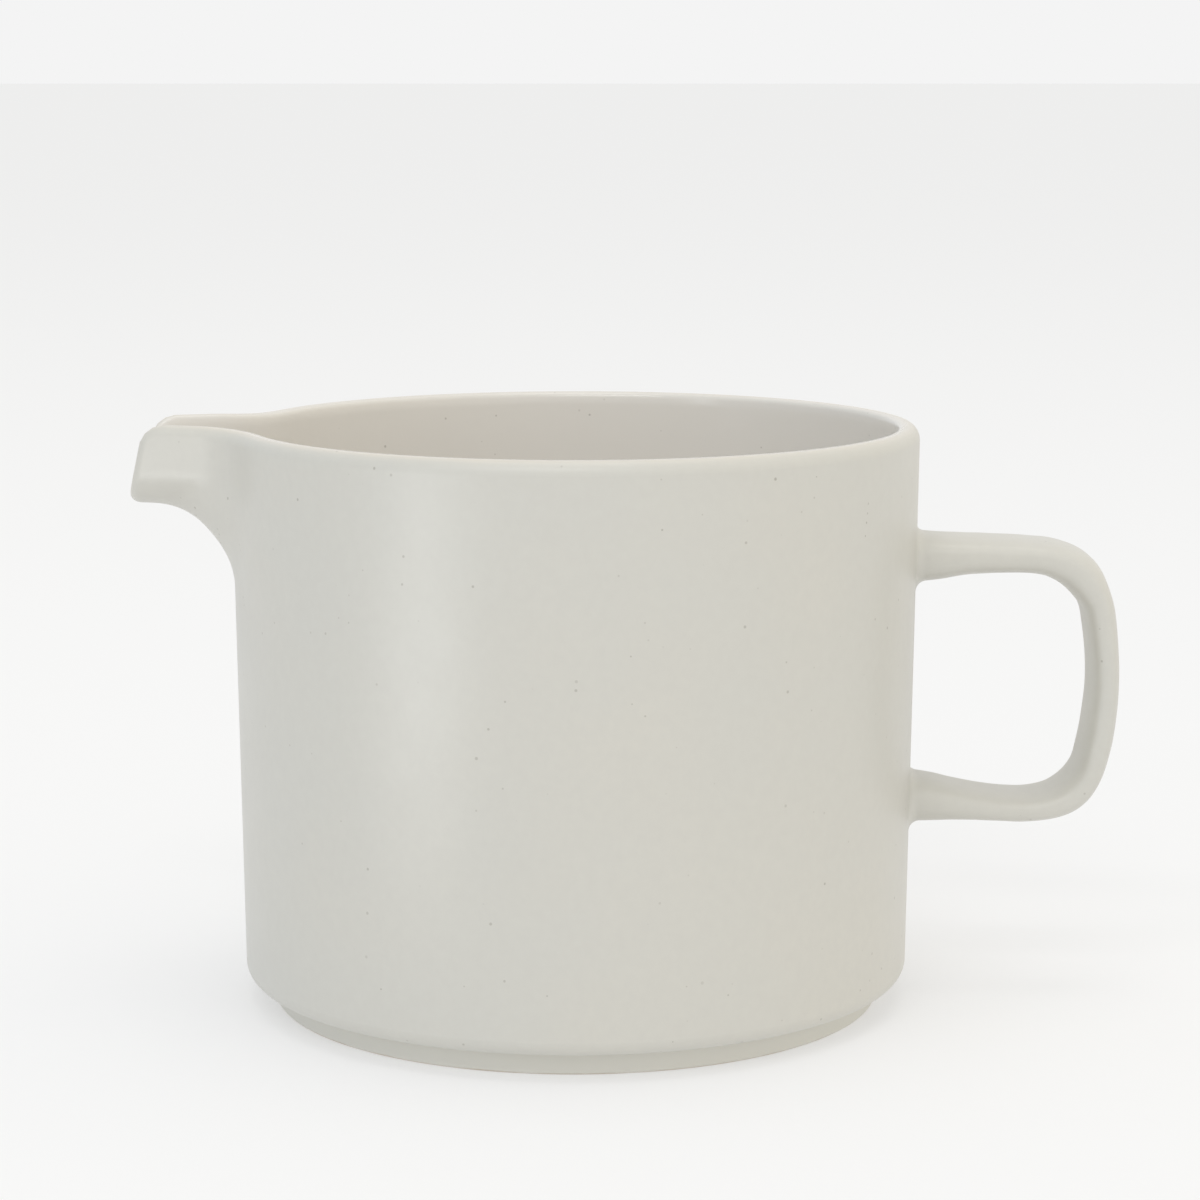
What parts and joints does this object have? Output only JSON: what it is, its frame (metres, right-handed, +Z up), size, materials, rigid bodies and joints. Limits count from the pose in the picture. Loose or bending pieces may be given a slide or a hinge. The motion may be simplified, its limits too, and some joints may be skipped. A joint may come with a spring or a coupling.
{
  "type": "ceramic pitcher",
  "caption": "Straight-sided round stoneware pitcher with an open U-shaped pouring beak, a D-shaped loop handle and a recessed foot ring.",
  "frame": {"origin": "on the vessel's axis, in the plane that the foot ring stands on", "axes": "+Z up along the vessel's axis, +X towards the handle, -X towards the pouring spout, Y across"},
  "size_m": [0.1808, 0.1252, 0.1067],
  "materials": {
    "body_glaze": "satin",
    "spout_glaze": "satin",
    "handle_glaze": "satin",
    "slip": "matte",
    "foot_clay": "matte"
  },
  "bodies": {
    "root": {"vessel_body": "body_glaze", "pouring_spout": "spout_glaze", "spout_slip_seam": "slip", "handle": "handle_glaze", "handle_upper_slip": "slip", "handle_lower_slip": "slip", "foot_ring": "foot_clay", "foot_slip": "slip"}
  },
  "joints": []
}
